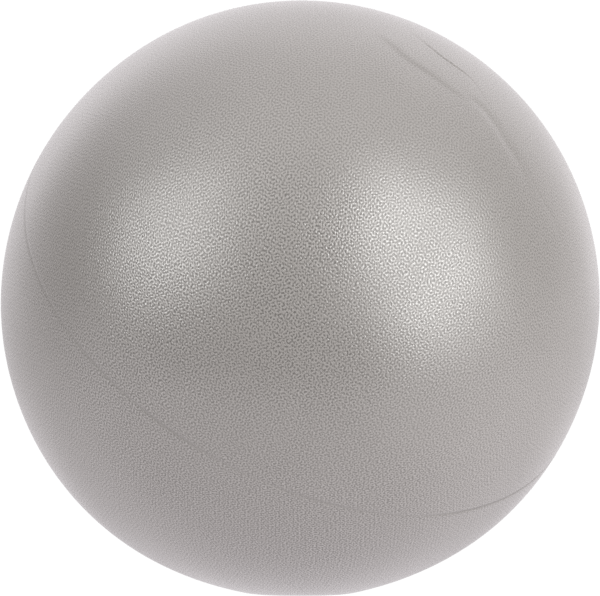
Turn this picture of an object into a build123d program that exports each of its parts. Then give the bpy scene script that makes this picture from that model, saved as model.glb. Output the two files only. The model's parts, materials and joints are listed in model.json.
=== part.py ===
from build123d import *
import math
import os

# Inflated soft-PVC exercise ball, 250 mm across, resting on a floor.
# Millimetres, +Z up. The origin is the centre of the flat contact patch, so
# the ball's centre is on the +Z axis.
#
#   ball_skin   one-piece hollow skin, pierced only at the valve
#   valve_seat  soft insert bonded inside the skin at one mould pole
#   valve_plug  push-in stopper, pulls straight out of the seat
#
# Valve profiles are (r, s) points: r is the distance from the valve's axis,
# s the distance outward from the ball's face, so s is negative inside.

# ---- ball -------------------------------------------------------------------
ball_diameter = 250.0
wall = 0.7
rest_radius = 13.0           # flat contact patch on the floor
blend_ratio = 0.5            # blend round the patch, as a share of the ball's radius

seam_width = 1.8             # groove left by the mould's parting line
seam_depth = 0.12
witness_radius = 13.0        # ring left by the mould's valve boss
witness_width = 0.8
witness_depth = 0.15

# Mould's polar axis, out through the valve: toward -X, +Y and below the equator
valve_direction = Vector(-0.3997, 0.5890, -0.7023).normalized()
hole_radius = 7.0            # opening in the skin for the seat's collar
hole_cutter_length = 8 * wall

# ---- valve seat ---------------------------------------------------------------
glue_gap = 0.02              # glue line between the seat and the skin
recess_radius = 5.8          # recess in the collar for the plug's head
recess_floor = -1.5
bore_radius = 2.5
bore_chamfer = 0.3
flange_radius = 12.0
flange_thickness = 1.2
flange_bulge = 0.25          # how far the flange's rounded rim stands out
hub_radius = 7.5
hub_end = -3.4
hub_chamfer = 0.4
stem_radius = 4.5
stem_end = -14.0
stem_chamfer = 0.5
stem_fillet = 0.6            # where the stem meets the hub

# ---- valve plug ---------------------------------------------------------------
head_radius = 5.6
head_gap = 0.05              # between the head and the recess floor
head_top = 0.10
crown_mid_share = 0.55       # arc point on the crown, as a share of the radius
crown_mid_drop = 0.13
head_edge = -0.55            # level that the rounded edge is set out from
head_chamfer = 0.15
shank_radius = 2.25
rib_clearance = 0.04         # radial, in the bore
rib_half = 0.55
rib_flat_share = 0.4         # flat part of a rib, as a share of its half width
rib_outer_ramp = 0.25        # extra ramp toward the head
rib_inner_ramp = 0.55        # extra ramp toward the tip
rib_places = (-4.2, -7.4, -10.6)
tip_start = -13.4
tip_end = -16.2
tip_radius = 1.25
notch_size = (1.6, 3.2, 0.5)  # thumbnail notch at the head's edge
notch_lift = 0.42            # its middle, above the head's base

# ---- derived ------------------------------------------------------------------
ball_radius = ball_diameter / 2
blend_radius = blend_ratio * ball_radius
# The patch, the blend arc and the sphere are tangent to each other, so the
# centres of the sphere and the blend are this far apart
centre_distance = ball_radius - blend_radius
centre_height = blend_radius + math.sqrt(centre_distance ** 2 - rest_radius ** 2)
tangent_x = rest_radius / centre_distance
tangent_z = -(centre_height - blend_radius) / centre_distance
tangent_angle = math.atan2(tangent_z, tangent_x)

centre_plane = Plane(
    origin=(0, 0, centre_height),
    x_dir=(valve_direction.Y, -valve_direction.X, 0),
    z_dir=valve_direction,
)
valve_plane = centre_plane.offset(ball_radius)


def arc(middle, end):
    """Profile entry: an arc from the previous point through middle to end."""
    return ("arc", middle, end)


def turned(profile):
    """Revolve a profile about Z; a straight line closes it."""
    start = profile[0]
    last = start
    edges = []
    for entry in profile[1:] + [start]:
        if entry[0] == "arc":
            _, middle, end = entry
            points = [(x, 0, z) for x, z in (last, middle, end)]
            edges.append(ThreePointArc(*points))
            last = end
        else:
            edges.append(Line((last[0], 0, last[1]), (entry[0], 0, entry[1])))
            last = entry
    return revolve(make_face(edges), axis=Axis.Z)


def resting_ball(inset):
    """Solid ball with its flat patch, every face moved inward by inset."""
    radius = ball_radius - inset
    blend = blend_radius - inset
    blend_angle = (-math.pi / 2 + tangent_angle) / 2
    side_angle = (tangent_angle + math.pi / 2) / 2
    return turned([
        (0.0, inset),
        (rest_radius, inset),
        arc((rest_radius + blend * math.cos(blend_angle),
             blend_radius + blend * math.sin(blend_angle)),
            (radius * tangent_x, centre_height + radius * tangent_z)),
        arc((radius * math.cos(side_angle), centre_height + radius * math.sin(side_angle)),
            (0.0, centre_height + radius)),
    ])


def groove(width, depth, angle):
    """Torus that cuts a shallow round-bottomed ring, at an angle from the valve's axis."""
    tool_radius = (width ** 2 / 4 + depth ** 2) / (2 * depth)
    reach = ball_radius - depth + tool_radius
    plane = centre_plane.offset(reach * math.cos(angle))
    return plane * Torus(reach * math.sin(angle), tool_radius)


def on_sphere(radius, r):
    """Profile point at r on a sphere about the ball's centre."""
    return (r, math.sqrt(radius ** 2 - r ** 2) - ball_radius)


def make_skin():
    skin = resting_ball(0.0)
    skin = skin - groove(seam_width, seam_depth, math.pi / 2)
    skin = skin - groove(witness_width, witness_depth, math.asin(witness_radius / ball_radius))
    skin = skin - resting_ball(wall)
    return skin - valve_plane * Cylinder(hole_radius, hole_cutter_length)


def make_seat():
    bond = ball_radius - wall - glue_gap      # sphere of the flange's bonded face
    back = bond - flange_thickness            # sphere of its inner face
    collar_radius = hole_radius - glue_gap
    collar_top = on_sphere(ball_radius, collar_radius)
    rim_outer = on_sphere(bond, flange_radius)
    rim_inner = on_sphere(back, flange_radius)
    fillet_r = stem_radius + stem_fillet      # centre of the fillet
    fillet_s = hub_end - stem_fillet
    fillet_step = stem_fillet * math.sin(math.pi / 4)
    return valve_plane * turned([
        (bore_radius, recess_floor),
        (recess_radius, recess_floor),
        (recess_radius, collar_top[1]),
        collar_top,
        on_sphere(bond, collar_radius),
        arc(on_sphere(bond, (collar_radius + flange_radius) / 2), rim_outer),
        arc((flange_radius + flange_bulge, (rim_outer[1] + rim_inner[1]) / 2), rim_inner),
        arc(on_sphere(back, (hub_radius + flange_radius) / 2), on_sphere(back, hub_radius)),
        (hub_radius, hub_end + hub_chamfer),
        (hub_radius - hub_chamfer, hub_end),
        (fillet_r, hub_end),
        arc((fillet_r - fillet_step, fillet_s + fillet_step), (stem_radius, fillet_s)),
        (stem_radius, stem_end + stem_chamfer),
        (stem_radius - stem_chamfer, stem_end),
        (bore_radius + bore_chamfer, stem_end),
        (bore_radius, stem_end + bore_chamfer),
    ])


def make_plug():
    head_base = recess_floor + head_gap
    profile = [
        (0.0, head_top),
        arc((head_radius * crown_mid_share, head_top - crown_mid_drop),
            (head_radius - 0.35, head_edge + 0.25)),
        arc((head_radius - 0.08, head_edge + 0.1), (head_radius, head_edge - 0.15)),
        (head_radius, head_base + head_chamfer),
        (head_radius - head_chamfer, head_base),
        (shank_radius, head_base),
    ]
    rib_radius = bore_radius - rib_clearance
    rib_flat = rib_half * rib_flat_share
    for s in rib_places:
        profile += [
            (shank_radius, s + rib_half + rib_outer_ramp),
            (rib_radius, s + rib_flat),
            (rib_radius, s - rib_flat),
            (shank_radius, s - rib_half - rib_inner_ramp),
        ]
    # Tapered tip with a rounded end
    profile += [
        (shank_radius, tip_start),
        (tip_radius + 0.35, tip_end + 0.45),
        arc((tip_radius - 0.05, tip_end + 0.1), (tip_radius - 0.55, tip_end)),
        (0.0, tip_end),
    ]
    notch = valve_plane * Pos(head_radius, 0, head_base + notch_lift) * Box(*notch_size)
    return valve_plane * turned(profile) - notch


pieces = {
    "ball_skin": make_skin(),
    "valve_seat": make_seat(),
    "valve_plug": make_plug(),
}
os.makedirs("parts", exist_ok=True)
for name, piece in pieces.items():
    export_step(piece, f"parts/{name}.step")
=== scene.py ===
"""An inflated soft PVC ball with a valve, resting on a white floor in a soft studio.

The ball touches the floor at z = 0, its centre straight above the origin. The
camera looks along +Y, so -Y is the front and +X is to the right. The valve
opens along the axis of the joint plug_pull. Ball shapes are worked out in
millimetres from the ball's centre; the finished mesh and the studio are in metres.
"""

import json
import math

import bpy
import numpy as np
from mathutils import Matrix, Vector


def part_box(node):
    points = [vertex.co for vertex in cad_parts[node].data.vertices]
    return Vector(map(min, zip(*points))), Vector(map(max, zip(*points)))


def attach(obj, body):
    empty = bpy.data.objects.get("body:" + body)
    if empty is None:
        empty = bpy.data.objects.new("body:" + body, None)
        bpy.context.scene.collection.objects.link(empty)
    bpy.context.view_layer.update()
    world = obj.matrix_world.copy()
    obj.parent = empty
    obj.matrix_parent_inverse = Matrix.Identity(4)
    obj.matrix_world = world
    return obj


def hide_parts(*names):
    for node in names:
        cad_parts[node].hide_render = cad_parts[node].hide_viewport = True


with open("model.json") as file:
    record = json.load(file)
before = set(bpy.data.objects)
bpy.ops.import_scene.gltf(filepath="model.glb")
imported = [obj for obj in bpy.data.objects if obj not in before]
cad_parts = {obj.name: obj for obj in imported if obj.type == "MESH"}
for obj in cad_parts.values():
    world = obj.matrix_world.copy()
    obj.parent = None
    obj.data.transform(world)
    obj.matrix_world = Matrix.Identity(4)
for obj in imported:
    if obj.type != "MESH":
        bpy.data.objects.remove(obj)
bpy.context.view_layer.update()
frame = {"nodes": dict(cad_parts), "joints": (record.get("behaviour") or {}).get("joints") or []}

# ---------------------------------------------------------------------------
# Driving dimensions, mm
# ---------------------------------------------------------------------------
MM_PER_M = 1000.0
RADIUS = 125.0                              # of the free skin
WALL = 0.7
CENTRE_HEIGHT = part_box("ball_skin")[1].z * MM_PER_M - RADIUS
REST_RADIUS = 13.0                          # of the flat contact patch
BLEND_RADIUS = RADIUS / 2                   # of the blend's meridian, patch to sphere
BLEND_DROP = CENTRE_HEIGHT - BLEND_RADIUS   # blend's arc centre below the ball's centre
HOLE_RADIUS = 7.0                           # opening in the skin at the valve
RING_RADIUS = 13.0                          # ring groove round the valve
HALF_TURN = RADIUS * math.pi                # arc from pole to pole
EQUATOR = RADIUS * math.pi / 2              # arc from the pole to the parting line

# Polar frame: the valve's outward axis, and the directions of longitude 0 and 90.
# Polar angles are counted from the pole opposite the valve.
pull = next(joint for joint in frame["joints"] if joint["name"] == "plug_pull")
VALVE = np.array(pull["axis"], float)
VALVE /= np.linalg.norm(VALVE)
LON_ZERO = np.array((VALVE[1], -VALVE[0], 0.0))
LON_ZERO /= np.linalg.norm(LON_ZERO)
LON_QUARTER = np.cross(VALVE, LON_ZERO)


# ---------------------------------------------------------------------------
# Directions and the resting shape
# ---------------------------------------------------------------------------
def direction(polar, lon):
    """Unit vectors at polar angles and longitudes."""
    polar, lon = np.broadcast_arrays(polar, lon)
    return (-VALVE * np.cos(polar)[..., None]
            + LON_ZERO * (np.sin(polar) * np.cos(lon))[..., None]
            + LON_QUARTER * (np.sin(polar) * np.sin(lon))[..., None])


VIEW_SPREAD = 0.0278                        # ball radius over viewing distance


def on_view(right, up):
    """Direction from the ball's centre to the place that the camera sees at
    (right, up) of the ball's middle, in ball radii."""
    right, up = np.asarray(right, float), np.asarray(up, float)
    depth = -np.sqrt(np.clip(1 - right * right - up * up, 0, 1))
    for _ in range(4):
        scale = 1 + VIEW_SPREAD * depth
        depth = -np.sqrt(np.clip(1 - (right * right + up * up) * scale * scale, 0, 1))
    scale = 1 + VIEW_SPREAD * depth
    return np.stack([right * scale, depth, up * scale], -1)


def smooth(x, start, stop):
    """Smooth step from 0 at start to 1 at stop."""
    t = np.clip((x - start) / (stop - start), 0, 1)
    return t * t * (3 - 2 * t)


def bell(x, width):
    return np.exp(-(x / width) ** 2)


def resting(u):
    """Points and outward normals of the resting skin along unit vectors u:
    sphere, blend and flat contact patch."""
    down = -u[..., 2]
    level = np.sqrt(np.clip(1 - down * down, 0, 1))
    in_blend = down > BLEND_DROP / (RADIUS - BLEND_RADIUS)
    in_patch = in_blend & (level * CENTRE_HEIGHT <= REST_RADIUS * down)

    # where the ray meets the arc of the blend
    along = level * REST_RADIUS + down * BLEND_DROP
    power = REST_RADIUS ** 2 + BLEND_DROP ** 2 - BLEND_RADIUS ** 2
    to_blend = along + np.sqrt(np.clip(along * along - power, 0, None))
    reach = np.where(in_blend, to_blend, RADIUS)
    reach = np.where(in_patch, CENTRE_HEIGHT / np.clip(down, 0.5, None), reach)
    point = u * reach[..., None]

    x, y, z = point[..., 0], point[..., 1], point[..., 2]
    from_middle = np.sqrt(x ** 2 + y ** 2)
    safe = np.clip(from_middle, 1e-6, None)
    blend_normal = np.stack([(from_middle - REST_RADIUS) * x / safe,
                             (from_middle - REST_RADIUS) * y / safe,
                             z + CENTRE_HEIGHT - BLEND_RADIUS], -1) / BLEND_RADIUS
    normal = np.where(in_blend[..., None], blend_normal, u)
    normal = np.where(in_patch[..., None], np.array((0, 0, -1.0)), normal)
    return point, normal


# ---------------------------------------------------------------------------
# Unevenness, creases and parting line
# ---------------------------------------------------------------------------
# Swells and hollows of the skin: direction, height in mm, width in degrees.
# The lower left stands full, the upper left is flat, and the skin is drawn in
# just round the contact patch.
LUMPS = [
    ((-0.78, -0.10, -0.62), 0.85, 26),
    ((-0.72, -0.10, 0.69), -0.85, 24),
    ((0.10, -0.30, 0.95), 0.15, 22),
    ((0.85, -0.20, 0.15), 0.20, 30),
    ((0.34, 0.10, -0.93), -0.62, 11),
    ((-0.27, 0.05, -0.96), -0.50, 11),
    ((0.55, 0.70, 0.30), 0.35, 30),
    ((-0.65, 0.70, 0.20), -0.30, 28),
]


def unevenness(u):
    """Height in mm of the lumps and two faint ripples; none at valve and floor."""
    x, y, z = u[..., 0], u[..., 1], u[..., 2]
    height = np.zeros(u.shape[:-1])
    for lump, lump_height, width in LUMPS:
        axis = np.array(lump, float)
        axis /= np.linalg.norm(axis)
        angle = np.degrees(np.arccos(np.clip(u @ axis, -1, 1)))
        height += lump_height * np.exp(-0.5 * (angle / width) ** 2)
    broad_ripple = 0.07 * np.sin(5.1 * x + 1.3) * np.sin(4.3 * z + 0.4)
    close_ripple = 0.05 * np.sin(9.7 * y + 2.1 + 3.0 * x) * np.sin(8.9 * z - 0.7)
    height += broad_ripple + close_ripple
    from_valve = RADIUS * np.arccos(np.clip(u @ VALVE, -1, 1))
    from_rest = RADIUS * np.arccos(np.clip(-z, -1, 1))
    return height * smooth(from_valve, 16, 40) * smooth(from_rest, 13.5, 30)


# Fold creases at the ball's upper right: right and up of its middle in ball
# radii, relative depth, softness in mm.
INNER_CREASE_UPPER = [
    (0.261, 0.887, 0.15, 2.8), (0.298, 0.857, 0.85, 2.9), (0.341, 0.819, 1.1, 3),
    (0.375, 0.792, 1.2, 3), (0.418, 0.764, 1.15, 2.8), (0.458, 0.737, 1.05, 2.6),
    (0.492, 0.710, 0.9, 2.3), (0.525, 0.687, 0.6, 2.1), (0.552, 0.670, 0.1, 2),
]
INNER_CREASE_LOWER = [
    (0.559, 0.683, 0.1, 2.4), (0.587, 0.657, 0.6, 2.6), (0.617, 0.630, 0.85, 2.7),
    (0.654, 0.583, 0.95, 2.7), (0.684, 0.533, 0.95, 2.7), (0.716, 0.483, 0.85, 2.7),
    (0.743, 0.429, 0.6, 2.8), (0.766, 0.372, 0.25, 3), (0.786, 0.319, 0, 3),
]
OUTER_CREASE = [
    (0.365, 0.897, 0.2, 1.6), (0.395, 0.874, 0.5, 1.3), (0.425, 0.851, 0.75, 1),
    (0.468, 0.816, 0.85, 0.85), (0.508, 0.787, 0.9, 0.85), (0.549, 0.757, 0.65, 1),
    (0.582, 0.724, 0.3, 1.2), (0.622, 0.663, 0.15, 1.3), (0.669, 0.586, 0.2, 1.2),
    (0.709, 0.526, 0.25, 1.1), (0.756, 0.445, 0.3, 1.2), (0.796, 0.358, 0.3, 1.4),
    (0.836, 0.291, 0.3, 1.6), (0.870, 0.212, 0.2, 1.8), (0.893, 0.148, 0.1, 2),
]
# Stations, trough depth, step to one side, sideways place of the dark line of painted shade in
# mm, strength of that painted shade.
CREASES = [
    (INNER_CREASE_UPPER, 0.045, 0.06, 0.3, 0.85),
    (INNER_CREASE_LOWER, 0.22, 0.0, 2.4, 0.35),
    (OUTER_CREASE, 0.17, -0.06, 0.0, 1.0),
]
CREASE_DEPTH = 1.9                          # common factor on all crease depths
CREASE_REACH = 14                           # mm to either side
CREASE_AREA = (0.62, 0.60)                  # middle of the creased area, ball radii
CREASE_AREA_ANGLE = 50                      # degrees round it that hold all creases


def curve_through(stations, per_span=14):
    """Dense Catmull-Rom curve through the stations, in all their columns."""
    p = np.array(stations, float)
    p = np.vstack([2 * p[0] - p[1], p, 2 * p[-1] - p[-2]])
    curve = []
    for i in range(1, len(p) - 2):
        before, start, stop, after = p[i - 1:i + 3]
        for t in np.linspace(0, 1, per_span, endpoint=False):
            curve.append(0.5 * ((2 * start) + (stop - before) * t
                                + (2 * before - 5 * start + 4 * stop - after) * t * t
                                + (3 * start - before - 3 * stop + after) * t ** 3))
    return np.array(curve + [p[-2]])


def nearest_on_crease(u, stations):
    """For unit vectors u: distance to the crease in radians, which side of it
    they lie on (-1, 0 or 1), and its depth and softness at the nearest place."""
    curve = curve_through(stations)
    places = on_view(curve[:, 0], curve[:, 1])
    starts = places[:-1]
    spans = places[1:] - starts
    nearest = np.full(len(u), 1e9)
    side = np.zeros(len(u))
    depth = np.zeros(len(u))
    softness = np.ones(len(u))
    for i, (start, span) in enumerate(zip(starts, spans)):
        offset = u - start
        t = np.clip((offset @ span) / (span @ span), 0, 1)
        offset = offset - t[:, None] * span
        distance = np.linalg.norm(offset, axis=1)
        closer = distance < nearest
        nearest[closer] = distance[closer]
        side[closer] = np.sign(offset[closer] @ np.cross(start, span))
        depth[closer] = (curve[i, 2] * (1 - t) + curve[i + 1, 2] * t)[closer]
        softness[closer] = (curve[i, 3] * (1 - t) + curve[i + 1, 3] * t)[closer]
    return nearest, side, depth, softness


def creased(u):
    """Displacement in mm, and the mask of painted shade along the creases' dark lines."""
    flat = u.reshape(-1, 3)
    height = np.zeros(len(flat))
    mask = np.zeros(len(flat))
    near = (flat @ on_view(*CREASE_AREA)) > math.cos(math.radians(CREASE_AREA_ANGLE))
    near = np.nonzero(near)[0]
    for stations, trough, step, shade_place, dark in CREASES:
        distance, side, depth, softness = nearest_on_crease(flat[near], stations)
        sideways = distance * RADIUS * side
        within = np.where(distance * RADIUS < CREASE_REACH, 1.0, 0.0)
        sharp = np.clip(1.9 - softness, 0, 1)
        # a soft trough; where the crease is sharp, a fine line in it with a
        # ridge beside it; and a slight step that fades out sideways
        height[near] += CREASE_DEPTH * within * depth * (
            -trough * bell(sideways, width=softness) * 0.75
            - 0.10 * sharp * bell(sideways, width=0.45)
            + 0.10 * sharp * bell(sideways - 1.0, width=0.55)
            + step * 0.8 * np.tanh(sideways / (0.8 * softness))
            * bell(sideways, width=4.2 * softness))
        # the dark line along each crease is painted shade
        line = bell(sideways - shade_place, width=0.55 * softness + 0.25)
        mask[near] = np.maximum(mask[near], dark * within * np.clip(depth, 0, 1.6) * line)
    return height.reshape(u.shape[:-1]), mask.reshape(u.shape[:-1])


# The parting line comes and goes along the ball: longitude in degrees, strength.
SEAM_START = -164
SEAM_RUN = np.array([
    (-164, 0.3), (-150.8, 0.55), (-138, 0.6), (-126, 0.3), (-113, 0.5), (-100, 0.8),
    (-88, 0.6), (-74, 0.4), (-60, 0.7), (-48, 0.9), (-35, 0.6), (-22, 0.3), (-10, 0.5),
    (3, 0.8), (15, 0.7), (28, 0.4), (40, 0.6), (52.8, 0.85), (58, 0.96), (67.5, 1.0),
    (75.5, 1.16), (82.8, 0.8), (88.8, 0.4), (92.2, 0.2), (98.8, 0.3), (105, 0.5),
    (109, 0.68), (115.5, 0.5), (120.8, 0.35), (125.8, 0.2), (131.2, 0.4), (136.5, 0.6),
    (142.5, 0.9), (147.8, 0.8), (152.5, 0.6), (161.8, 0.75), (168.2, 0.45), (176.2, 0.1),
    (187.5, 0.2),
])
SEAM_DEPTH = 0.05                           # mm, everywhere
SEAM_DEPTH_ADDED = 0.19                     # mm, times the strength


def seam_strength(lon):
    degrees = (np.degrees(lon) - SEAM_START) % 360 + SEAM_START
    return np.interp(degrees, SEAM_RUN[:, 0], SEAM_RUN[:, 1], period=360)


# ---------------------------------------------------------------------------
# Skin mesh
# ---------------------------------------------------------------------------
COLUMNS = 360
CREASE_COLUMNS = (0.716, 0.489)             # where columns are closest, ball radii
LIP_ROWS = 3
LIP_BEVEL = 0.05                            # mm, outward and down
LIP_DROP = 0.17                             # mm, foot of the rounded lip
INNER_ROWS = 30
SEAM_OFFSETS = (0.2, 0.45, 0.7, 0.95, 1.3, 1.8)   # mm to either side of the line
RING_OFFSETS = (0.22, 0.45, 0.75, 1.4)            # mm to either side of the groove


def both_sides(middle, offsets):
    """Places below, at and above the middle, in rising order."""
    return ([middle - x for x in reversed(offsets)] + [middle]
            + [middle + x for x in offsets])


def outer_arcs():
    """Arc distances of the outer rows from the pole opposite the valve, fine
    across the creases, the parting line and the valve's ring."""
    ring = RADIUS * (math.pi - math.asin(RING_RADIUS / RADIUS))
    hole = RADIUS * (math.pi - math.asin((HOLE_RADIUS + 0.16) / RADIUS))
    return np.concatenate([
        np.linspace(1.2, 9.0, 7),
        np.arange(9.5, 39.5, 0.45),
        np.arange(40.2, 112.5, 1.6),
        np.linspace(114, EQUATOR - 2.6, 30),
        both_sides(EQUATOR, SEAM_OFFSETS),
        [EQUATOR + 2.6],
        np.linspace(EQUATOR + 5.0, ring - 2.4, 56),
        both_sides(ring, RING_OFFSETS),
        np.linspace(ring + 2.4, hole, 5),
    ])


def longitudes():
    """Column longitudes, closer together at the creases, and the four of them
    where the texture layout is cut."""
    middle = on_view(*CREASE_COLUMNS)
    middle_lon = math.atan2(middle @ LON_QUARTER, middle @ LON_ZERO)
    x = np.linspace(-math.pi, math.pi, 20001)
    density = 1 + 1.9 * bell(x, width=math.radians(15))
    count = np.concatenate([[0], np.cumsum((density[1:] + density[:-1]) / 2)])
    lon = np.interp(np.arange(COLUMNS) / COLUMNS * count[-1], count, x)
    cuts = [math.radians(degrees) for degrees in (-135, -45, 45, 135)]
    for cut in cuts:
        lon[np.argmin(np.abs(lon - cut))] = cut
    return lon + middle_lon, np.array([cut + middle_lon for cut in cuts])


def outer_skin(arcs, lon):
    """Outer points, and the masks of features drawn by the material. Masks
    that only vary from row to row have one column."""
    polar = arcs / RADIUS
    u = direction(polar[:, None], lon[None, :])
    point, normal = resting(u)
    crease_height, crease = creased(u)
    from_seam = np.abs(arcs - EQUATOR)
    # distance from the valve's axis; far away on the opposite half
    from_axis = np.where(polar > math.pi / 2, RADIUS * np.sin(polar), 1e3)
    strength = seam_strength(lon)
    seam_line = bell(from_seam, width=0.75)[:, None]

    height = unevenness(u) + crease_height
    height -= seam_line * (SEAM_DEPTH + SEAM_DEPTH_ADDED * strength)
    # low swollen lips on both sides of the parting line
    height += ((0.035 * bell(from_seam - 1.6, width=0.7))[:, None]
               * (0.6 + 0.4 * np.sin(5 * lon + 1.0)))
    # ring groove, and the slightly sunk disc inside it
    height -= (0.15 * bell(from_axis - RING_RADIUS, width=0.42))[:, None]
    height -= (0.06 * (1 - smooth(from_axis, 10.5, 12.6))
               * smooth(from_axis, 7.2, 8.2))[:, None]
    # the seam, crease and ring masks carry painted shade for the material (on the parting line
    # partly its own darker tone); the seam mask also smooths the grain
    masks = {
        "seam": seam_line * (0.1 + strength),
        "crease": crease,
        "grain": smooth(from_axis, 12.2, 14.2)[:, None],
        "ring": bell(from_axis - RING_RADIUS, width=0.5)[:, None],
    }
    return point + normal * height[..., None], masks


def opening_lip(lon):
    """The opening's rounded lip, then its wall down to the inside."""
    circle = LON_ZERO * np.cos(lon)[:, None] + LON_QUARTER * np.sin(lon)[:, None]
    bevel_radius = HOLE_RADIUS + LIP_BEVEL
    rings = (
        (bevel_radius, math.sqrt(RADIUS * RADIUS - bevel_radius * bevel_radius) - LIP_BEVEL),
        (HOLE_RADIUS, math.sqrt(RADIUS * RADIUS - HOLE_RADIUS * HOLE_RADIUS) - LIP_DROP),
        (HOLE_RADIUS, math.sqrt((RADIUS - WALL) ** 2 - HOLE_RADIUS ** 2)),
    )
    return [VALVE * height + radius * circle for radius, height in rings]


def inner_skin(u):
    point, normal = resting(u)
    return point + normal * (unevenness(u) - WALL)[..., None]


# Texture layout: one large square holds the whole outside, a small one the
# inside, each given by its middle and half width; a strip holds the lip.
OUTER_SQUARE = ((0.47, 0.53), 0.466)
INNER_SQUARE = ((0.968, 0.032), 0.026)
LIP_STRIP_START = (0.02, 0.010)
LIP_STRIP_SIZE = (0.86, 0.032)
LIP_POLAR_COS = -0.9985                     # polar cosine given to the lip's rows


def skin_uvs(lon, cuts, outer_polar, inner_polar):
    """Texture places of all face corners, in the order of skin_faces."""
    outer_rows = len(outer_polar)
    polar_cos = np.concatenate([np.cos(outer_polar), np.full(LIP_ROWS, LIP_POLAR_COS),
                                np.cos(inner_polar)])
    row_count = len(polar_cos)
    edges = np.append(lon, lon[0] + 2 * math.pi)
    left, right = edges[:-1], edges[1:]
    # the quarter of the square that each face column falls in
    quarter = np.searchsorted(cuts, (left + right) / 2, side="right") - 1
    wrap = np.where(quarter < 0, 2 * math.pi, 0.0)
    quarter = np.where(quarter < 0, 3, quarter)
    cut = cuts[quarter]
    turn_cos = np.array([1, 0, -1, 0])[quarter]
    turn_sin = np.array([0, 1, 0, -1])[quarter]

    def corners(rows, edge, face_rows):
        """One corner of every face: its row and its edge of the column."""
        # equal-area layout of the whole sphere on one square
        share = np.clip((edge + wrap - cut) / (math.pi / 2), 0, 1)[None, :]
        cos_here = polar_cos[rows]
        reach = np.sqrt(np.clip(1 - np.abs(cos_here), 0, None))[:, None]
        near_half = (cos_here >= 0)[:, None]
        x = np.where(near_half, reach * (1 - share), 1 - reach * share)
        y = np.where(near_half, reach * share, 1 - reach * (1 - share))
        x, y = x * turn_cos - y * turn_sin, x * turn_sin + y * turn_cos
        outer, inner = (np.stack([middle[0] + half * x, middle[1] + half * y], -1)
                        for middle, half in (OUTER_SQUARE, INNER_SQUARE))
        down = ((rows - (outer_rows - 1)) / float(LIP_ROWS))[:, None]
        around = ((edge - edges[0]) / (2 * math.pi))[None, :]
        lip = np.stack(np.broadcast_arrays(LIP_STRIP_START[0] + LIP_STRIP_SIZE[0] * around,
                                           LIP_STRIP_START[1] + LIP_STRIP_SIZE[1] * down), -1)
        kind = face_rows[:, None, None]
        return np.where(kind < outer_rows - 1, outer,
                        np.where(kind < outer_rows - 1 + LIP_ROWS, lip, inner))

    rows = np.arange(row_count - 1)
    quads = np.stack([corners(rows, left, rows), corners(rows + 1, left, rows),
                      corners(rows + 1, right, rows), corners(rows, right, rows)], 2)
    first, last = np.array([0]), np.array([row_count - 1])
    outer_pole = np.broadcast_to(OUTER_SQUARE[0], (len(lon), 2))
    inner_pole = np.broadcast_to(INNER_SQUARE[0], (len(lon), 2))
    outer_fan = np.stack([outer_pole, corners(first, left, first)[0],
                          corners(first, right, first)[0]], 1)
    inner_fan = np.stack([corners(last, left, last)[0], inner_pole,
                          corners(last, right, last)[0]], 1)
    return np.vstack([part.reshape(-1, 2) for part in (quads, outer_fan, inner_fan)])


def skin_faces(row_count):
    """Quads between the rows, then a fan at the outer and at the inner pole."""
    columns = np.arange(COLUMNS)
    following = (columns + 1) % COLUMNS
    base = 1 + np.arange(row_count - 1)[:, None] * COLUMNS
    quads = np.stack([base + columns, base + COLUMNS + columns,
                      base + COLUMNS + following, base + following], -1).reshape(-1, 4)
    last_row = 1 + (row_count - 1) * COLUMNS
    inner_pole = last_row + COLUMNS
    outer_fan = np.stack([np.zeros(COLUMNS, int), 1 + columns, 1 + following], -1)
    inner_fan = np.stack([last_row + columns, np.full(COLUMNS, inner_pole),
                          last_row + following], -1)
    return quads.tolist() + outer_fan.tolist() + inner_fan.tolist()


def build_skin():
    lon, cuts = longitudes()
    arcs = outer_arcs()
    # the inside of the wall, from the opening back to the pole
    inner_start = RADIUS * (math.pi - math.asin(HOLE_RADIUS / (RADIUS - WALL)))
    inner_polar = np.linspace(inner_start, 6.0, INNER_ROWS)[1:] / RADIUS
    outer, masks = outer_skin(arcs, lon)
    inner = inner_skin(direction(inner_polar[:, None], lon[None, :]))

    pole = -VALVE[None, :]
    pole_point, pole_normal = resting(pole)
    pole_height = unevenness(pole) + creased(pole)[0]
    points = np.vstack([pole_point + pole_normal * pole_height[:, None],
                        outer.reshape(-1, 3), *opening_lip(lon),
                        inner.reshape(-1, 3), inner_skin(pole)])
    points[:, 2] += CENTRE_HEIGHT
    points /= MM_PER_M

    mesh = bpy.data.meshes.new("ball_skin_visual")
    row_count = len(arcs) + LIP_ROWS + len(inner_polar)
    mesh.from_pydata(points.tolist(), [], skin_faces(row_count))
    uvs = skin_uvs(lon, cuts, arcs / RADIUS, inner_polar)
    mesh.uv_layers.new(name="OFBake").data.foreach_set("uv", uvs.astype(np.float32).ravel())

    def add_mask(name, outer_values, pole_value=0.0, lip=(0.0, 0.0, 0.0), inside=0.0):
        values = np.concatenate([
            [pole_value],
            np.broadcast_to(outer_values, (len(arcs), COLUMNS)).ravel(),
            np.repeat(lip, COLUMNS),
            np.full(len(inner_polar) * COLUMNS + 1, inside),
        ])
        attribute = mesh.attributes.new(name, "FLOAT", "POINT")
        attribute.data.foreach_set("value", values.astype(np.float32))

    add_mask("seam", masks["seam"])
    add_mask("crease", masks["crease"])
    add_mask("grain", masks["grain"], pole_value=1.0)
    add_mask("inside", 0.0, lip=(0.0, 0.3, 1.0), inside=1.0)
    add_mask("ring", masks["ring"])
    mesh.polygons.foreach_set("use_smooth", [True] * len(mesh.polygons))
    mesh.update()
    skin = bpy.data.objects.new("soft_skin", mesh)
    bpy.context.scene.collection.objects.link(skin)
    return skin


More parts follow.
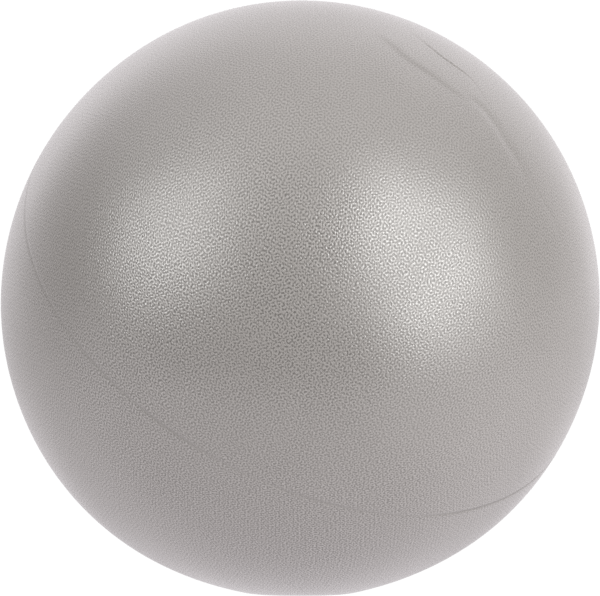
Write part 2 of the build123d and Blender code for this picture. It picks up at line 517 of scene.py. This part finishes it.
# ---------------------------------------------------------------------------
# Node trees
# ---------------------------------------------------------------------------
class Nodes:
    """Writes a material's or a world's node tree."""

    def __init__(self, owner, output):
        owner.use_nodes = True
        self.owner = owner
        self.tree = owner.node_tree
        for node in list(self.tree.nodes):
            self.tree.nodes.remove(node)
        self.surface = self.node(output).inputs["Surface"]

    def node(self, kind, **settings):
        node = self.tree.nodes.new(kind)
        for name, value in settings.items():
            setattr(node, name, value)
        return node

    def put(self, socket, value):
        """Link a socket or set a plain value."""
        if isinstance(value, bpy.types.NodeSocket):
            self.tree.links.new(value, socket)
        else:
            socket.default_value = value

    def fill(self, node, values):
        for name, value in values.items():
            self.put(node.inputs[name], value)
        return node

    def math(self, operation, a, b=0.0, c=0.0, clamp=False):
        node = self.node("ShaderNodeMath", operation=operation, use_clamp=clamp)
        for socket, value in zip(node.inputs, (a, b, c)):
            self.put(socket, value)
        return node.outputs[0]

    def add(self, a, b, clamp=False):
        return self.math("ADD", a, b, clamp=clamp)

    def subtract(self, a, b, clamp=False):
        return self.math("SUBTRACT", a, b, clamp=clamp)

    def multiply(self, a, b, clamp=False):
        return self.math("MULTIPLY", a, b, clamp=clamp)

    def linear(self, value, gain, offset):
        return self.math("MULTIPLY_ADD", value, gain, offset)

    def add_up(self, values):
        total = values[0]
        for value in values[1:]:
            total = self.add(total, value)
        return total

    def vector(self, operation, *values):
        node = self.node("ShaderNodeVectorMath", operation=operation)
        for socket, value in zip(node.inputs, values):
            self.put(socket, value)
        gives_number = operation in ("DOT_PRODUCT", "LENGTH")
        return node.outputs["Value" if gives_number else "Vector"]

    def dot(self, a, b):
        return self.vector("DOT_PRODUCT", a, b)

    def tinted(self, tint, strength):
        node = self.node("ShaderNodeVectorMath", operation="SCALE")
        self.put(node.inputs[0], tint)
        self.put(node.inputs["Scale"], strength)
        return node.outputs[0]

    def ramp(self, value, start, stop, first, last):
        """Smooth change from first at start to last at stop."""
        node = self.node("ShaderNodeMapRange", interpolation_type="SMOOTHSTEP")
        self.fill(node, {"Value": value, "From Min": start, "From Max": stop,
                         "To Min": first, "To Max": last})
        return node.outputs[0]

    def mix(self, factor, low, high):
        """Mix of two colours."""
        node = self.node("ShaderNodeMix", data_type="RGBA")
        for index, value in ((0, factor), (6, low), (7, high)):
            self.put(node.inputs[index], value)
        return node.outputs[2]

    def mix_value(self, factor, low, high):
        node = self.node("ShaderNodeMix", data_type="FLOAT")
        for index, value in ((0, factor), (2, low), (3, high)):
            self.put(node.inputs[index], value)
        return node.outputs[0]

    def mix_shader(self, factor, low, high):
        node = self.node("ShaderNodeMixShader")
        for socket, value in zip(node.inputs, (factor, low, high)):
            self.put(socket, value)
        return node.outputs[0]

    def emission(self, strength, color=(1, 1, 1, 1)):
        node = self.node("ShaderNodeEmission")
        return self.fill(node, {"Color": color, "Strength": strength}).outputs[0]

    def attribute(self, name):
        return self.node("ShaderNodeAttribute", attribute_name=name).outputs["Fac"]

    def facing(self):
        """0 seen squarely, 1 seen edge-on."""
        node = self.node("ShaderNodeLayerWeight")
        return self.fill(node, {"Blend": 0.5}).outputs["Facing"]

    def noise(self, place, scale, detail, rough=0.5, output="Fac"):
        node = self.node("ShaderNodeTexNoise")
        self.fill(node, {"Vector": place, "Scale": scale, "Detail": detail,
                         "Roughness": rough})
        return node.outputs[output]

    def bump(self, height, distance):
        node = self.node("ShaderNodeBump")
        self.fill(node, {"Strength": 1.0, "Distance": distance, "Height": height})
        return node.outputs["Normal"]

    def object_places(self):
        """Object coordinates in metres and in millimetres."""
        metres = self.node("ShaderNodeTexCoord").outputs["Object"]
        return metres, self.vector("MULTIPLY_ADD", metres, (MM_PER_M,) * 3, (0, 0, 0))

    def camera_side(self, place):
        """How far a place lies to the camera's right, and level away from it."""
        right = self.node("ShaderNodeVectorTransform", vector_type="VECTOR",
                          convert_from="CAMERA", convert_to="WORLD")
        right.inputs[0].default_value = (1, 0, 0)
        away = self.vector("CROSS_PRODUCT", (0, 0, 1), right.outputs[0])
        return self.dot(place, right.outputs[0]), self.dot(place, away)

    def principled(self, values):
        node = self.fill(self.node("ShaderNodeBsdfPrincipled"), values)
        self.put(self.surface, node.outputs[0])


def material_nodes(name):
    return Nodes(bpy.data.materials.new(name), "ShaderNodeOutputMaterial")


# ---------------------------------------------------------------------------
# Skin material
# ---------------------------------------------------------------------------
SKIN_COLOR = (0.1692, 0.1589, 0.1518)
SKIN_ROUGHNESS = 0.28
# painted shade: the tints below darken the colour in the hollows between the pebbles, along the
# creases and in the ring groove; along the parting line it is partly painted shade in its
# groove, partly the line's own darker tone
SEAM_TONE_AND_SHADE_TINT = 0.62                            # strength of the darkening in each feature
CREASE_SHADE_TINT = 0.30
RING_SHADE_TINT = 0.25
HOLLOW_SHADE_TINT = 0.66

# Grain: even, close-set pebbles made of many waves.
PEBBLE_PITCH = 1.26                         # mm
PEBBLE_SPREAD = 0.25                        # variation of the pitch between waves
PEBBLE_WARP = 1.6                           # mm that the places are pushed about
PEBBLE_HEIGHT = 0.022                       # mm
WAVE_COUNT = 24
WAVE_MEAN_SQUARE = 0.2667                   # of one faded wave over the sphere
GOLDEN_ANGLE = 2.399963
GOLDEN_SHARE = 0.618034
PHASE_STEP = 2.236068
FULL_TURN = 6.283185
EULER = 2.718282
FINE_GRAIN = 0.1                            # share of fine noise in the height
HOLLOW_RANGE = (0.7, -1.6)                  # wave height where hollows begin, are full
HOLLOW_SHADE_MEAN = 0.34
GLOSS_RANGE = (0.0, 2.2)                    # wave height, hollows to rubbed tops
GLOSS_LEVELS = (0.3, 1.2)                   # specular level there
GLOSS_MEAN = 0.45
SLANT_GRAIN = 0.42                          # grain left when seen edge-on
SLANT_POWER = 3.5
# Broad places with flatter or crisper grain: right and up in ball radii,
# width in degrees, grain height there.
GRAIN_PATCHES = [
    (-0.18, -0.42, 13, 0.66), (0.12, -0.45, 13, 0.64), (0.42, -0.35, 13, 0.68),
    (-0.43, -0.44, 10, 0.85), (0.69, -0.35, 10, 0.8), (0.25, 0.0, 12, 0.7),
    (0.17, 0.68, 16, 0.75), (-0.74, 0.06, 24, 1.27), (-0.05, -0.91, 16, 1.5),
]


def pebble_waves(m, place, outward):
    """Sum of equal waves running every way along the skin, each fading where
    it would run straight into the skin."""
    waves = []
    for k in range(WAVE_COUNT):
        z = (k + 0.5) / WAVE_COUNT
        turn = GOLDEN_ANGLE * k
        way = (math.sqrt(1 - z * z) * math.cos(turn), math.sqrt(1 - z * z) * math.sin(turn), z)
        spread = PEBBLE_SPREAD * (2 * ((k * GOLDEN_SHARE) % 1.0) - 1)
        closeness = 2 * math.pi / (PEBBLE_PITCH * (1.0 + spread))
        along = m.dot(place, tuple(closeness * part for part in way))
        wave = m.math("SINE", m.add(along, (k * PHASE_STEP) % FULL_TURN))
        into = m.dot(outward, way)
        fade = m.linear(m.multiply(into, into), gain=-1.0, offset=1.0)
        waves.append(m.multiply(wave, fade))
    return m.math("DIVIDE", m.add_up(waves), math.sqrt(WAVE_COUNT * WAVE_MEAN_SQUARE))


def grain_amount(m, mm, outward, seam):
    """Strength of the grain before the broad patches."""
    # flatter in the parting line and on the valve's smooth disc
    bare = m.subtract(1.0, m.multiply(seam, 0.7))
    amount = m.multiply(m.attribute("grain"), bare)
    # slow variation over the ball
    slow = m.noise(mm, scale=0.02, detail=2.0)
    amount = m.multiply(amount, m.linear(slow, gain=0.5, offset=0.75))
    # a little coarser low on the ball
    rise = m.node("ShaderNodeSeparateXYZ")
    m.put(rise.inputs[0], outward)
    lower = m.ramp(rise.outputs["Z"], start=-0.95, stop=0.35, first=1.3, last=0.95)
    amount = m.multiply(amount, lower)
    # seen at a slant, the tops hide the hollows between them
    square = m.math("POWER", m.subtract(1.0, m.facing()), SLANT_POWER)
    return m.multiply(amount, m.linear(square, gain=1.0 - SLANT_GRAIN, offset=SLANT_GRAIN))


def grain_patches(m, outward):
    patches = 1.0
    for right, up, width, level in GRAIN_PATCHES:
        near = m.dot(outward, tuple(float(v) for v in on_view(right, up)))
        sharpness = 2.0 / math.radians(width) ** 2
        lobe = m.math("POWER", EULER, m.linear(near, gain=sharpness, offset=-sharpness))
        patches = m.multiply(patches, m.linear(lobe, gain=level - 1.0, offset=1.0))
    return patches


def skin_shade(red, green, blue):
    """The skin's colour with each channel scaled."""
    return (SKIN_COLOR[0] * red, SKIN_COLOR[1] * green, SKIN_COLOR[2] * blue, 1)


def skin_material():
    m = material_nodes("skin_soft_pvc")
    metres, mm = m.object_places()
    # the pebbles' places are pushed about a little, so that no rows show
    warp = m.noise(mm, scale=0.22, detail=1.0, output="Color")
    place = m.vector("MULTIPLY_ADD", warp, (PEBBLE_WARP,) * 3, mm)
    from_centre = m.vector("SUBTRACT", metres, (0.0, 0.0, CENTRE_HEIGHT / MM_PER_M))
    outward = m.vector("NORMALIZE", from_centre)
    waves = pebble_waves(m, place, outward)
    fine = m.noise(place, scale=1.9, detail=1.0, rough=0.6)
    height = m.add(waves, m.multiply(fine, FINE_GRAIN))
    hollows = m.ramp(waves, *HOLLOW_RANGE, first=0.0, last=1.0)

    seam = m.attribute("seam")
    crease = m.attribute("crease")
    amount = grain_amount(m, mm, outward, seam)
    patches = grain_patches(m, outward)
    grain_height = m.multiply(height, m.multiply(amount, patches))
    # the painted shade of the hollows, scaled by the patches about its mean
    even = m.linear(m.subtract(hollows, HOLLOW_SHADE_MEAN), gain=patches, offset=HOLLOW_SHADE_MEAN)
    hollow_shade_mask = m.multiply(even, amount, clamp=True)

    # colour: slightly cloudy warm grey, with painted shade in each of the features
    cloud = m.noise(mm, scale=0.035, detail=3.0, rough=0.55)
    color = m.mix(cloud, low=skin_shade(0.965, 0.965, 0.965),
                  high=skin_shade(1.035, 1.035, 1.04))
    for mask, strength, shade in (
            # painted shade in the hollows between the pebbles
            (hollow_shade_mask, HOLLOW_SHADE_TINT, skin_shade(0.12, 0.115, 0.11)),
            # parting line: partly painted shade in its groove, partly the line's own darker tone
            (seam, SEAM_TONE_AND_SHADE_TINT, skin_shade(0.45, 0.44, 0.42)),
            # painted shade along the fold creases
            (crease, CREASE_SHADE_TINT, skin_shade(0.5, 0.48, 0.46)),
            # painted shade in the ring groove round the valve
            (m.attribute("ring"), RING_SHADE_TINT, skin_shade(0.5, 0.48, 0.46))):
        color = m.mix(m.multiply(mask, strength, clamp=True), low=color, high=shade)
    color = m.mix(m.multiply(m.attribute("inside"), 0.6), low=color,
                  high=skin_shade(0.9, 0.88, 0.86))

    # duller in the hollows, the parting line and the creases
    dust = m.noise(mm, scale=0.6, detail=4.0, rough=0.6)
    rough = m.linear(cloud, gain=0.04, offset=SKIN_ROUGHNESS - 0.02)
    rough = m.add(rough, m.multiply(dust, 0.04))
    rough = m.add(rough, m.multiply(hollow_shade_mask, 0.08))
    lines = m.math("MAXIMUM", seam, crease)
    rough = m.add(rough, m.multiply(lines, 0.10), clamp=True)

    # the tops of the pebbles are shinier than the hollows
    gloss = m.ramp(waves, *GLOSS_RANGE, *GLOSS_LEVELS)
    rubbed = m.linear(m.subtract(gloss, GLOSS_MEAN), gain=patches, offset=GLOSS_MEAN)
    rubbed = m.math("MAXIMUM", rubbed, 0.1)
    shine = m.mix_value(amount, low=0.5 * sum(GLOSS_LEVELS), high=rubbed)
    m.principled({
        "Base Color": color,
        "Roughness": rough,
        "Normal": m.bump(grain_height, distance=PEBBLE_HEIGHT / MM_PER_M),
        "Specular IOR Level": shine,
        "IOR": 1.50,
    })
    return m.owner


# ---------------------------------------------------------------------------
# Valve materials
# ---------------------------------------------------------------------------
def seat_material():
    m = material_nodes("seat_soft_pvc")
    _, mm = m.object_places()
    flow = m.noise(mm, scale=0.35, detail=3.0, rough=0.55)
    fine = m.noise(mm, scale=6.0, detail=2.0, rough=0.6)
    relief = m.add(flow, m.multiply(fine, 0.25))
    m.principled({
        "Base Color": m.mix(flow, low=(0.192, 0.184, 0.174, 1), high=(0.224, 0.215, 0.203, 1)),
        "Roughness": m.linear(flow, gain=0.12, offset=0.36),
        "Normal": m.bump(relief, distance=0.00003),
        "IOR": 1.5,
        "Subsurface Weight": 0.05,
        "Subsurface Scale": 0.002,
    })
    return m.owner


def plug_material():
    m = material_nodes("plug_moulded_plastic")
    _, mm = m.object_places()
    flow = m.noise(mm, scale=0.25, detail=3.0)
    fine = m.noise(mm, scale=9.0, detail=3.0, rough=0.65)
    marks = m.noise(mm, scale=1.6, detail=4.0, rough=0.7)
    color = m.mix(flow, low=(0.262, 0.258, 0.248, 1), high=(0.308, 0.303, 0.292, 1))
    # the strongest marks are darker
    strongest = m.subtract(marks, 0.55, clamp=True)
    color = m.mix(m.multiply(strongest, 0.9, clamp=True), low=color,
                  high=(0.20, 0.196, 0.185, 1))
    relief = m.add(fine, m.multiply(marks, 0.6))
    m.principled({
        "Base Color": color,
        "Roughness": m.linear(marks, gain=0.20, offset=0.28),
        "Normal": m.bump(relief, distance=0.00002),
        "IOR": 1.49,
        "Subsurface Weight": 0.08,
        "Subsurface Scale": 0.0015,
    })
    return m.owner


# ---------------------------------------------------------------------------
# Floor: a plain pale floor to the camera, a glowing table to the ball
# ---------------------------------------------------------------------------
LAMP_TINT = (1.0, 1.01, 0.995)
ROOM_TINT = (1.0, 0.965, 0.995)             # backdrop, ceiling and table
FLOOR_HALF = 30                             # m
FLOOR_GLOW = 0.55                           # added to the floor that the camera sees
# painted reflection of the backdrop on the floor seen almost edge-on
EDGE_ON_REFLECTION = 1.02                         # the floor seen almost edge-on
TABLE_GLOW = 1.32
TABLE_FRONT = -0.25                         # m, front edge
TABLE_FRONT_SOFT = 0.03                     # m
TABLE_SIDE_SHARE = 0.8                      # of the glow left at the sides
TABLE_FRONT_EXTRA = 0.42                    # extra glow in front of the ball
TABLE_END_LOSS = 0.4                        # glow lost at the far left and right
TABLE_SHADOW = 0.16                         # glow lost under the ball
TABLE_SHADOW_RADII = (0.06, 0.3)            # m, full and none


def floor_seen(m):
    diffuse = m.node("ShaderNodeBsdfDiffuse")
    diffuse.inputs["Color"].default_value = (0.45, 0.45, 0.45, 1)
    pale = m.node("ShaderNodeAddShader")
    m.put(pale.inputs[0], diffuse.outputs[0])
    m.put(pale.inputs[1], m.emission(FLOOR_GLOW))
    # painted reflection: seen almost edge-on the floor turns as white as the backdrop, as if it
    # mirrored it
    edge_on_reflection = m.ramp(m.facing(), start=0.90, stop=0.965, first=0.0, last=1.0)
    return m.mix_shader(edge_on_reflection, pale.outputs[0], m.emission(EDGE_ON_REFLECTION))


def table_glow(m, place, clear):
    """A white table that ends in front of the ball; past its edge the light
    of the studio comes through."""
    across, away = m.camera_side(place)
    sides = m.ramp(m.math("ABSOLUTE", across), start=0.1, stop=0.5,
                   first=1.0, last=TABLE_SIDE_SHARE)
    nearer = m.ramp(away, start=-0.05, stop=0.05, first=TABLE_FRONT_EXTRA, last=0.0)
    ends = m.multiply(m.ramp(m.math("ABSOLUTE", across), start=0.45, stop=0.9,
                             first=0.0, last=TABLE_END_LOSS),
                      m.ramp(away, start=0.3, stop=1.2, first=1.0, last=0.0))
    shadow = m.ramp(m.vector("LENGTH", place), *TABLE_SHADOW_RADII,
                    first=TABLE_SHADOW, last=0.0)
    strength = m.linear(sides, gain=TABLE_GLOW, offset=nearer)
    strength = m.subtract(m.subtract(strength, ends), shadow)
    on_table = m.ramp(away, start=TABLE_FRONT - TABLE_FRONT_SOFT,
                      stop=TABLE_FRONT + TABLE_FRONT_SOFT, first=0.0, last=1.0)
    return m.mix_shader(on_table, clear, m.emission(strength, color=(*ROOM_TINT, 1)))


def floor_material():
    m = material_nodes("floor_white")
    geometry = m.node("ShaderNodeNewGeometry")
    to_camera = m.node("ShaderNodeLightPath").outputs["Is Camera Ray"]
    clear = m.node("ShaderNodeBsdfTransparent").outputs[0]
    table = table_glow(m, geometry.outputs["Position"], clear)
    top_side = m.mix_shader(to_camera, table, floor_seen(m))
    m.put(m.surface, m.mix_shader(geometry.outputs["Backfacing"], top_side, clear))
    m.owner.cycles.emission_sampling = "NONE"
    return m.owner


def build_floor():
    mesh = bpy.data.meshes.new("floor")
    corners = [(x * FLOOR_HALF, y * FLOOR_HALF, 0)
               for x, y in ((-1, -1), (1, -1), (1, 1), (-1, 1))]
    mesh.from_pydata(corners, [], [(0, 1, 2, 3)])
    floor = bpy.data.objects.new("floor", mesh)
    bpy.context.scene.collection.objects.link(floor)
    floor.data.materials.append(floor_material())
    return floor


# ---------------------------------------------------------------------------
# Studio light, all in the world
# ---------------------------------------------------------------------------
# Azimuths are degrees from the camera's side to the right, elevations degrees up.
# Two softboxes in front: azimuth, elevation, roll, half width, half height and
# edge softness (as tangents), strength.
SOFTBOXES = [
    (-55.5, 15.2, 0.5, 0.36, 0.52, 0.14, 1.14),
    (52.1, 11.2, 29.0, 0.425, 0.635, 0.04, 1.9),
]
# Round soft glows: azimuth, elevation, half width, edge (degrees), strength.
FRONT_GLOWS = [
    (-90, 44, 12, 12, 0.89), (-70, 25, 8, 8, 7.32), (-60, 10, 9, 9, 7.65),
    (-58, 50, 14, 14, 0.56), (-50, 14, 8, 8, 3.22), (-50, 38, 8, 8, 6.57),
    (-40, 22, 8, 8, 5.63), (-35, 70, 14, 14, 0.4), (-35, 11, 8, 8, 3.32),
    (-28, 40, 12, 12, 1.69), (0, 0, 10, 10, 0.49), (30, 24, 8, 8, 10.5),
    (35, 11, 8, 8, 7.88), (35, -3, 8, 8, 1.2), (40, 40, 8, 8, 5.77),
    (46, -6, 9, 9, 11.76), (48, 30, 9, 9, 6.31), (55, 20, 8, 8, 0.63),
    (62, 8, 9, 9, 10.58), (65, -8, 8, 8, 2.23), (70, 25, 8, 8, 5.81),
]
REAR_GLOWS = [
    (-150, 30, 16, 16, 0.78), (-150, 4, 14, 14, 0.25), (-148, 20, 9, 8, 0.25),
    (-132, -2, 9, 8, 0.25), (150, 30, 16, 16, 0.4), (150, 4, 14, 14, 0.08),
    (157, 2, 9, 8, 0.4), (180, 70, 18, 18, 0.12), (180, 15, 14, 12, 0.48),
]
# Half width and edge in degrees, strength.
BACKDROP = (61.6, 25.2, 1.003)
CEILING = (47.9, 25.0, 0.972)
SEEN_BACKGROUND = (1.02, 1.02, 1.02, 1)     # what the camera sees behind the ball


def toward(azimuth, elevation):
    azimuth, elevation = math.radians(azimuth), math.radians(elevation)
    return np.array((math.sin(azimuth) * math.cos(elevation),
                     -math.cos(azimuth) * math.cos(elevation), math.sin(elevation)))


def round_glow(m, look, axis, half, edge, strength):
    cosine = m.math("MINIMUM", m.math("MAXIMUM", m.dot(look, tuple(axis)), -1.0), 1.0)
    return m.ramp(m.math("ARCCOSINE", cosine), start=math.radians(max(half - edge, 0)),
                  stop=math.radians(half + edge), first=strength, last=0.0)


def softbox(m, look, azimuth, elevation, roll, half_width, half_height, edge, strength):
    axis = toward(azimuth, elevation)
    turn, roll = math.radians(azimuth), math.radians(roll)
    right = np.array((math.cos(turn), math.sin(turn), 0.0))
    up = np.cross(axis, right)
    up = up if up[2] > 0 else -up
    width_axis = right * math.cos(roll) + up * math.sin(roll)
    height_axis = -right * math.sin(roll) + up * math.cos(roll)
    facing = m.dot(look, tuple(axis))
    ahead = m.math("MAXIMUM", facing, 0.05)
    in_front = m.math("GREATER_THAN", facing, 0.06)

    def band(band_axis, half, level):
        slope = m.math("DIVIDE", m.dot(look, tuple(band_axis)), ahead)
        return m.ramp(m.math("ABSOLUTE", slope), start=half - edge, stop=half + edge,
                      first=level, last=0.0)

    shape = m.multiply(band(width_axis, half_width, strength),
                       band(height_axis, half_height, 1.0))
    return m.multiply(shape, in_front)


def build_world():
    world = bpy.data.worlds.new("studio")
    bpy.context.scene.world = world
    m = Nodes(world, "ShaderNodeOutputWorld")
    # turning the camera round the ball turns the lamps with it
    ray = m.node("ShaderNodeTexCoord").outputs["Generated"]
    across, away = m.camera_side(ray)
    ray_parts = m.node("ShaderNodeSeparateXYZ")
    m.put(ray_parts.inputs[0], ray)
    turned = m.node("ShaderNodeCombineXYZ")
    m.fill(turned, {"X": across, "Y": away, "Z": ray_parts.outputs["Z"]})
    look = m.vector("NORMALIZE", turned.outputs[0])

    def glows(table):
        return [round_glow(m, look, toward(azimuth, elevation), *shape)
                for azimuth, elevation, *shape in table]

    room = m.add_up([round_glow(m, look, (0, 1, 0), *BACKDROP),
                     round_glow(m, look, (0, 0, 1), *CEILING)] + glows(REAR_GLOWS))
    lamps = m.add_up(glows(FRONT_GLOWS) + [softbox(m, look, *box) for box in SOFTBOXES])
    light = m.vector("ADD", m.tinted(LAMP_TINT, lamps), m.tinted(ROOM_TINT, room))
    to_camera = m.node("ShaderNodeLightPath").outputs["Is Camera Ray"]
    background = m.node("ShaderNodeBackground")
    m.fill(background, {"Color": m.mix(to_camera, low=light, high=SEEN_BACKGROUND),
                        "Strength": 1.0})
    m.put(m.surface, background.outputs[0])
    world.cycles.sampling_method = "MANUAL"
    world.cycles.sample_map_resolution = 512


# ---------------------------------------------------------------------------
# Camera
# ---------------------------------------------------------------------------
CAMERA_DISTANCE = 4.5                       # m
SENSOR_WIDTH = 36.0                         # mm
BALL_IMAGE_RADIUS = 17.9376                 # mm on the sensor
CAMERA_SHIFT_UP = 0.00218333                # in sensor widths


def build_camera():
    data = bpy.data.cameras.new("camera")
    camera = bpy.data.objects.new("camera", data)
    bpy.context.scene.collection.objects.link(camera)
    bpy.context.scene.camera = camera
    radius = RADIUS / MM_PER_M
    to_outline = math.sqrt(CAMERA_DISTANCE ** 2 - radius ** 2)
    data.sensor_fit = "HORIZONTAL"
    data.sensor_width = SENSOR_WIDTH
    data.lens = BALL_IMAGE_RADIUS * to_outline / radius
    data.shift_y = CAMERA_SHIFT_UP
    data.clip_start = 0.1
    data.clip_end = 60
    camera.location = (0, -CAMERA_DISTANCE, CENTRE_HEIGHT / MM_PER_M)
    camera.rotation_euler = (math.pi / 2, 0, 0)


# ---------------------------------------------------------------------------
# Assembly
# ---------------------------------------------------------------------------
skin = build_skin()
skin.data.materials.append(skin_material())
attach(skin, "ball")
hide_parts("ball_skin")

for piece, make_material in (("valve_seat", seat_material), ("valve_plug", plug_material)):
    materials = frame["nodes"][piece].data.materials
    materials.clear()
    materials.append(make_material())

build_floor()
build_world()
build_camera()

view = bpy.context.scene.view_settings
view.view_transform = "Standard"
view.look = "None"
view.exposure = 0.0
view.gamma = 1.0

# denoising would wipe out the skin's fine grain
bpy.context.scene.cycles.use_denoising = False
